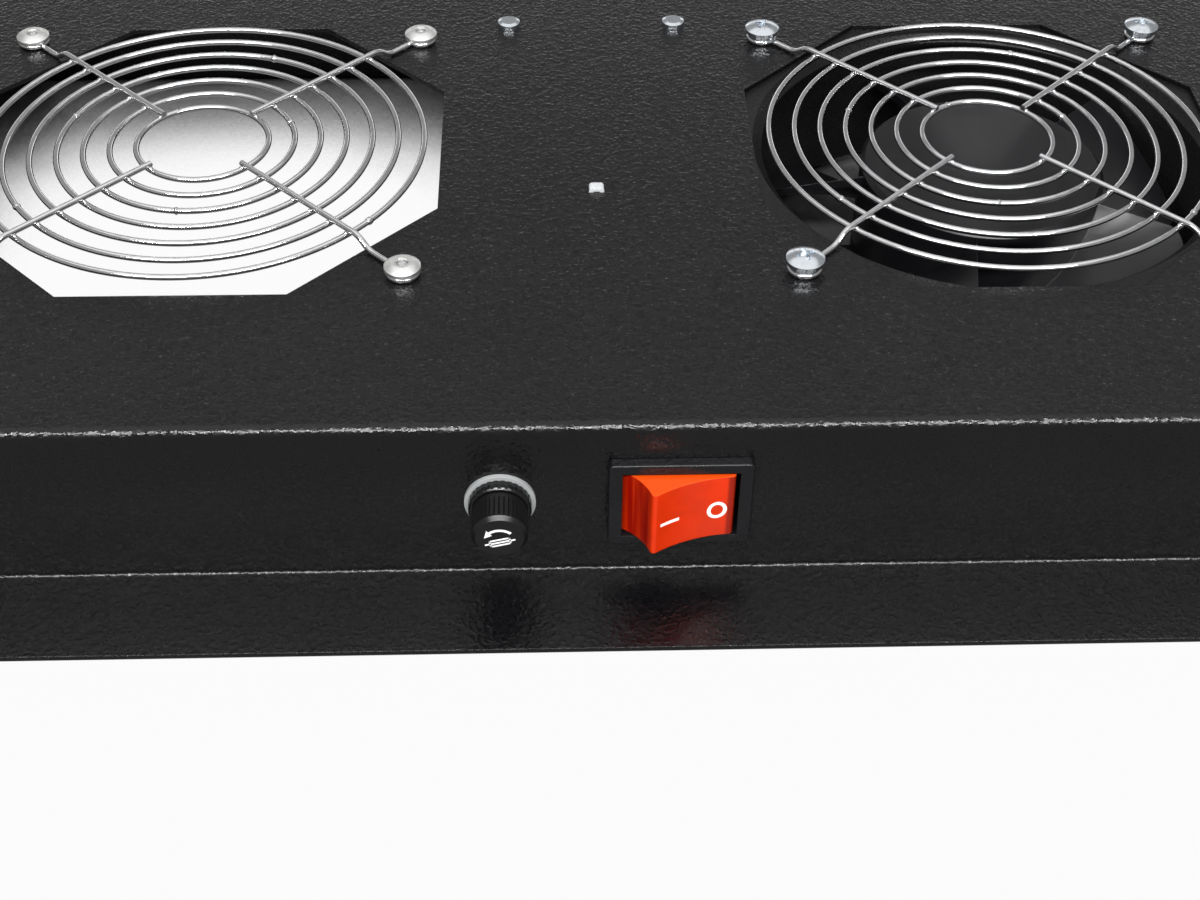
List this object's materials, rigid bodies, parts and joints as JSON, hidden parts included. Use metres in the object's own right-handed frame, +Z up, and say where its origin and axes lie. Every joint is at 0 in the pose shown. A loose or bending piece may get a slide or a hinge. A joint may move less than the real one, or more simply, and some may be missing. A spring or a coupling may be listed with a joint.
{
  "type": "rack fan tray",
  "caption": "Folded black steel rack fan tray with wire finger guards over octagonal bays, one axial fan, a lit rocker switch and a panel fuse holder.",
  "frame": {"origin": "middle of the footprint on the plane of the two mounting flanges' undersides", "axes": "+X along the front wall, to the right seen from the front; +Y from the front wall to the rear wall; +Z up, from the flanges to the finger guards"},
  "size_m": [0.416, 0.26, 0.0488],
  "materials": {
    "tray_black": "textured powder coat",
    "guard_wire": "bright plated wire",
    "rivet_alu": "matte",
    "zinc": "zinc plated",
    "fan_black": "satin enamel",
    "fan_plastic": "satin moulding",
    "motor_steel": "turned steel",
    "bronze": "sintered bronze",
    "laminations": "stacked laminations",
    "switch_black": "fine moulded grain",
    "rocker_red": "translucent red, polished",
    "tin": "tinned brass",
    "holder_black": "moulded, satin gloss",
    "washer_grey": "matte",
    "nickel": "nickel plated",
    "clear_glass": "clear tube",
    "gland_black": "moulded nylon",
    "seal_rubber": "soft rubber",
    "block_white": "natural nylon",
    "tie_white": "natural nylon",
    "brass": "machined",
    "wire_brown": "PVC insulation",
    "wire_blue": "PVC insulation",
    "wire_green": "green and yellow PVC insulation",
    "wire_black": "PVC insulation",
    "receptacle": "clear sleeve over tinned brass"
  },
  "bodies": {
    "tray": {"tray_shell": "tray_black", "finger_guards": "guard_wire", "guard_rivets": "rivet_alu", "fan_screws": "zinc", "fan_lock_washers": "zinc", "fan_nuts": "zinc", "fan_frame": "fan_black", "fan_bearings": "bronze", "fan_stator": "laminations", "fan_terminal_carrier": "fan_plastic", "fan_terminals": "tin", "switch_housing": "switch_black", "switch_terminals": "tin", "fuse_holder_body": "holder_black", "fuse_washer": "washer_grey", "fuse_nut": "holder_black", "fuse_terminals": "tin", "gland_body": "gland_black", "gland_cap": "gland_black", "gland_seal": "seal_rubber", "gland_locknut": "gland_black", "terminal_block": "block_white", "terminal_inserts": "brass", "terminal_clamp_screws": "zinc", "block_screws": "zinc", "block_nuts": "zinc", "cable_tie": "tie_white", "earth_stud": "zinc", "earth_lug": "tin", "earth_washer": "zinc", "earth_nut": "zinc", "wire_receptacles": "receptacle", "wire_line_in": "wire_brown", "wire_fuse_to_switch": "wire_brown", "wire_line_out": "wire_brown", "wire_neutral_in": "wire_blue", "wire_neutral_out": "wire_blue", "wire_fan_line": "wire_black", "wire_fan_neutral": "wire_black", "wire_earth": "wire_green"},
    "fan_rotor": {"fan_impeller": "fan_plastic", "fan_rotor_cup": "motor_steel", "fan_shaft": "motor_steel", "fan_shaft_clip": "motor_steel"},
    "rocker": {"switch_rocker": "rocker_red"},
    "fuse_insert": {"fuse_carrier": "holder_black", "fuse_end_caps": "nickel", "fuse_glass": "clear_glass"},
    "fuse_cap": {"fuse_cap": "holder_black"}
  },
  "joints": [
    {"name": "fan_spin", "type": "hinge", "parent": "tray", "child": "fan_rotor", "pos_m": [0.099, 0, 0.02], "axis": [0, 0, 1], "continuous": true},
    {"name": "rocker_tilt", "type": "hinge", "parent": "tray", "child": "rocker", "pos_m": [0.015, -0.1034, 0.023], "axis": [0, 0, -1], "range_deg": [0, 37.4]},
    {"name": "fuse_draw", "type": "slide", "parent": "tray", "child": "fuse_insert", "axis": [0, -1, 0], "range_m": [0, 0.035]},
    {"name": "fuse_cap_turn", "type": "hinge", "parent": "fuse_insert", "child": "fuse_cap", "pos_m": [-0.0242, -0.1135, 0.023], "axis": [0, 1, 0], "range_deg": [0, 60]}
  ]
}
